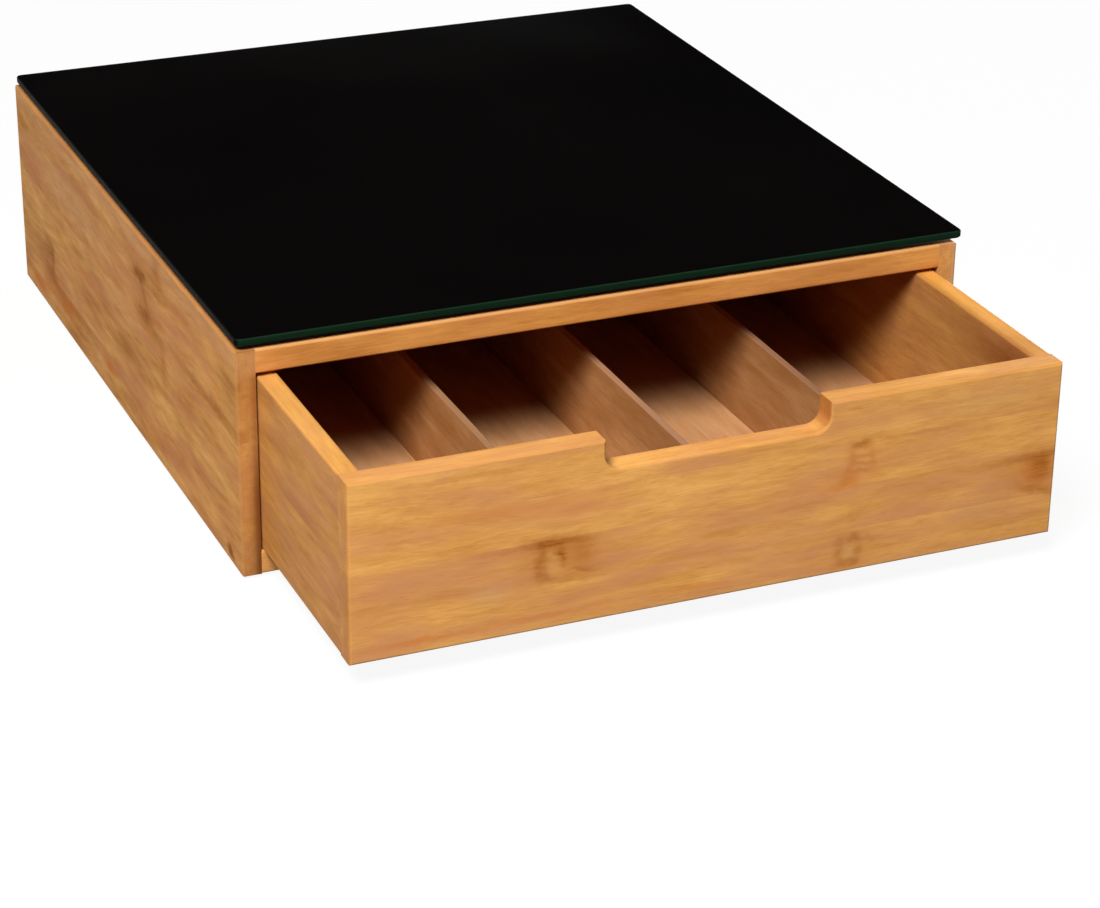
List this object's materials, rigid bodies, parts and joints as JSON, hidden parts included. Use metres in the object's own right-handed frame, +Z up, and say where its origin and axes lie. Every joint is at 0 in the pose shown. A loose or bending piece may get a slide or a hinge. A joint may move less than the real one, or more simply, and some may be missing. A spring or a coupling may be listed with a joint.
{
  "type": "coffee capsule drawer",
  "caption": "Low bamboo cabinet with a black glass top and a divided pull-out drawer for coffee capsules, with a finger notch in its front.",
  "frame": {"origin": "on the surface that the feet stand on, on the cabinet's middle plane, halfway between the front of the drawer as pulled out at rest and the cabinet's back", "axes": "+X to the right seen from the front, +Y from the drawer's front to the cabinet's back, +Z up"},
  "size_m": [0.3125, 0.435, 0.1015],
  "materials": {
    "bamboo_cabinet": "satin lacquered bamboo",
    "bamboo_drawer": "satin lacquered bamboo",
    "bamboo_ply": "matte bamboo ply",
    "dowel_wood": "plain beech",
    "tempered_glass": "polished float glass with ground edges",
    "black_enamel": "black opaque coat",
    "clear_pad": "clear soft bumper",
    "foam_foot": "black foam"
  },
  "bodies": {
    "cabinet": {"left_side_panel": "bamboo_cabinet", "right_side_panel": "bamboo_cabinet", "top_panel": "bamboo_cabinet", "bottom_panel": "bamboo_cabinet", "back_panel": "bamboo_cabinet", "glass_top": "tempered_glass", "black_backing": "black_enamel", "glass_pads": "clear_pad", "non_slip_feet": "foam_foot", "top_panel_dowels": "dowel_wood", "bottom_panel_dowels": "dowel_wood", "back_panel_dowels": "dowel_wood"},
    "drawer": {"drawer_front": "bamboo_drawer", "drawer_left_side": "bamboo_drawer", "drawer_right_side": "bamboo_drawer", "drawer_back": "bamboo_drawer", "drawer_bottom": "bamboo_ply", "left_divider": "bamboo_ply", "middle_divider": "bamboo_ply", "right_divider": "bamboo_ply", "drawer_front_dowels": "dowel_wood", "drawer_back_dowels": "dowel_wood", "closing_bumpers": "clear_pad"}
  },
  "joints": [
    {"name": "drawer_slide", "type": "slide", "parent": "cabinet", "child": "drawer", "axis": [0, -1, 0], "range_m": [-0.1, 0.15]}
  ]
}
